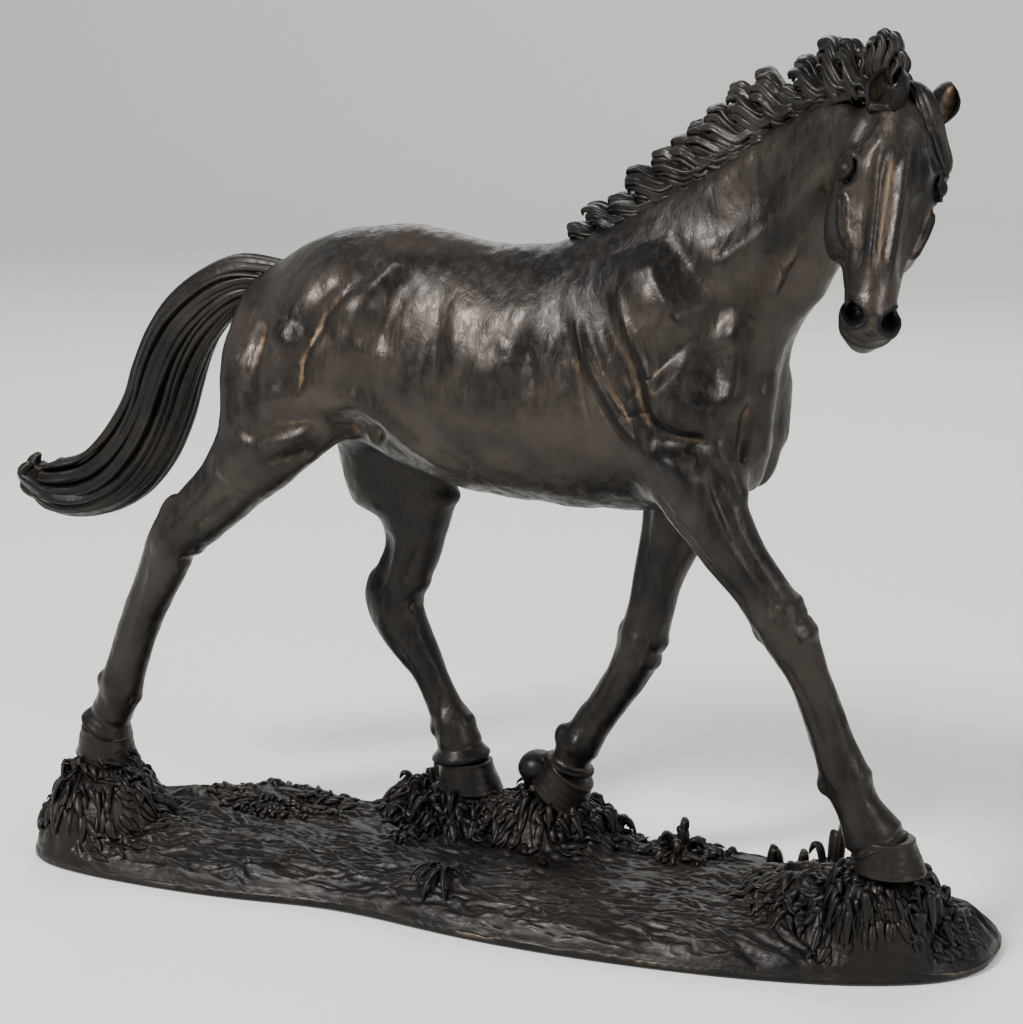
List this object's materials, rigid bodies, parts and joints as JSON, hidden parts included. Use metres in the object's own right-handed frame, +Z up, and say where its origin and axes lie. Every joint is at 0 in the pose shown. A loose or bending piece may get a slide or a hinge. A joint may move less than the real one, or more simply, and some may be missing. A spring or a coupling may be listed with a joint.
{
  "type": "horse statue",
  "caption": "Cast bronze horse striding over a grassy oval base, head turned to its right, mane and tail blown back.",
  "frame": {"origin": "centre of the base's flat underside", "axes": "+X forward along the base, the way the horse walks; +Y to the horse's left; +Z up"},
  "size_m": [0.312, 0.0847, 0.2611],
  "materials": {
    "body_bronze": "satin dark brown patina, rubbed on the ridges",
    "hair_bronze": "near-black patina, combed strands",
    "hoof_bronze": "satin dark patina",
    "ground_bronze": "dark patina with warm rubbed edges",
    "steel": "plain",
    "board": "smooth hardboard",
    "felt": "black felt"
  },
  "bodies": {
    "root": {"base_pad": "felt", "closing_board": "board", "board_screws": "steel", "base_casting": "ground_bronze", "grass_tufts": "ground_bronze", "hoof_studs": "steel", "hoof_washers": "steel", "hoof_nuts": "steel", "right_fore_hoof": "hoof_bronze", "left_fore_hoof": "hoof_bronze", "right_hind_hoof": "hoof_bronze", "left_hind_hoof": "hoof_bronze", "right_foreleg": "body_bronze", "left_foreleg": "body_bronze", "right_hind_leg": "body_bronze", "left_hind_leg": "body_bronze", "torso": "body_bronze", "shoulder_dowels": "steel", "hip_dowels": "steel", "neck": "body_bronze", "neck_dowels": "steel", "head": "body_bronze", "head_dowel": "steel", "right_ear": "body_bronze", "left_ear": "body_bronze", "forelock": "hair_bronze", "mane": "hair_bronze", "tail": "hair_bronze", "tail_dowel": "steel"}
  },
  "joints": []
}
